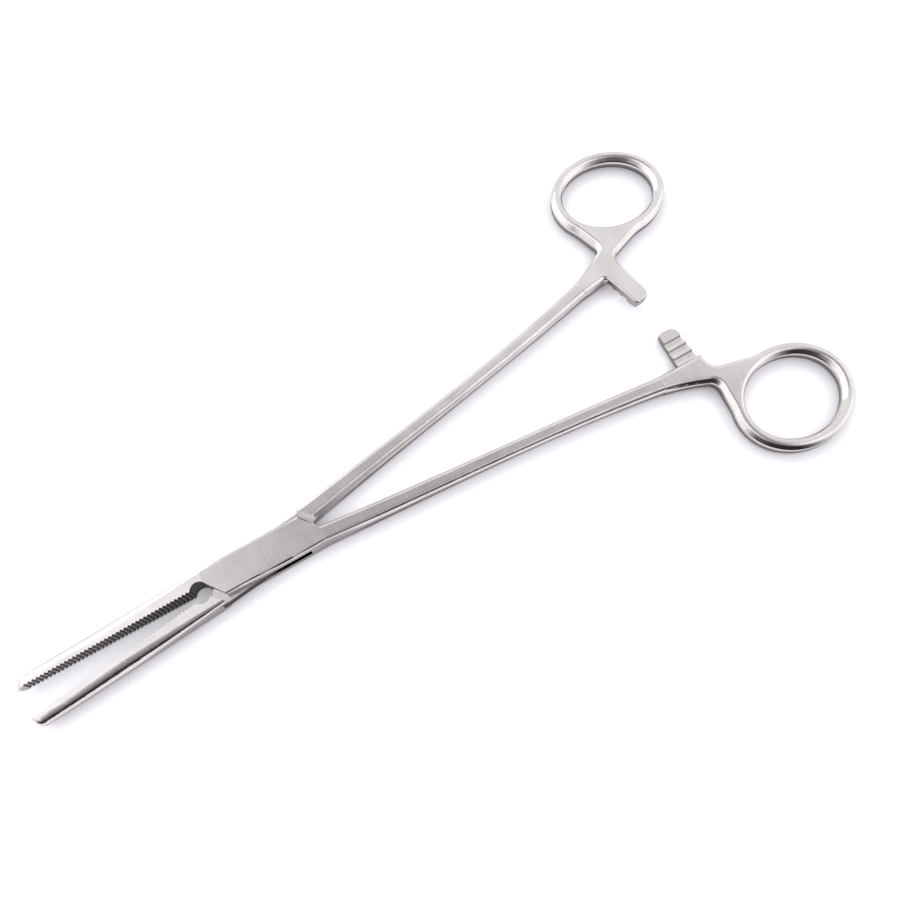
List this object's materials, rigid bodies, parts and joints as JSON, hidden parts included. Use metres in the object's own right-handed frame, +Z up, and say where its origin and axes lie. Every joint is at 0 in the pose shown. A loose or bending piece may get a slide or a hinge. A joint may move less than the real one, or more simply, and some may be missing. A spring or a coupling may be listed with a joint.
{
  "type": "hemostat forceps",
  "caption": "Straight hemostat forceps with finger rings, long shanks, a box lock, a ratchet catch and serrated jaws that taper to blunt tips.",
  "frame": {"origin": "on the pivot axis, on the flat bottom face of the box, which is the surface that the forceps lie on", "axes": "+X along the forceps towards the finger rings, midway between the two halves; +Y towards the finger ring of the tongue half; +Z up along the pivot axis"},
  "size_m": [0.1984, 0.0992, 0.006],
  "materials": {
    "satin_steel": "satin stainless steel, finely brushed on the flats and brighter on the rounded edges"
  },
  "bodies": {
    "box_body": {"box_half": "satin_steel", "lock_pin": "satin_steel"},
    "tongue_body": {"tongue_half": "satin_steel"}
  },
  "joints": [
    {"name": "box_lock", "type": "hinge", "parent": "box_body", "child": "tongue_body", "pos_m": [0, 0, 0.003], "axis": [0, 0, 1], "range_deg": [-7, 45]}
  ]
}
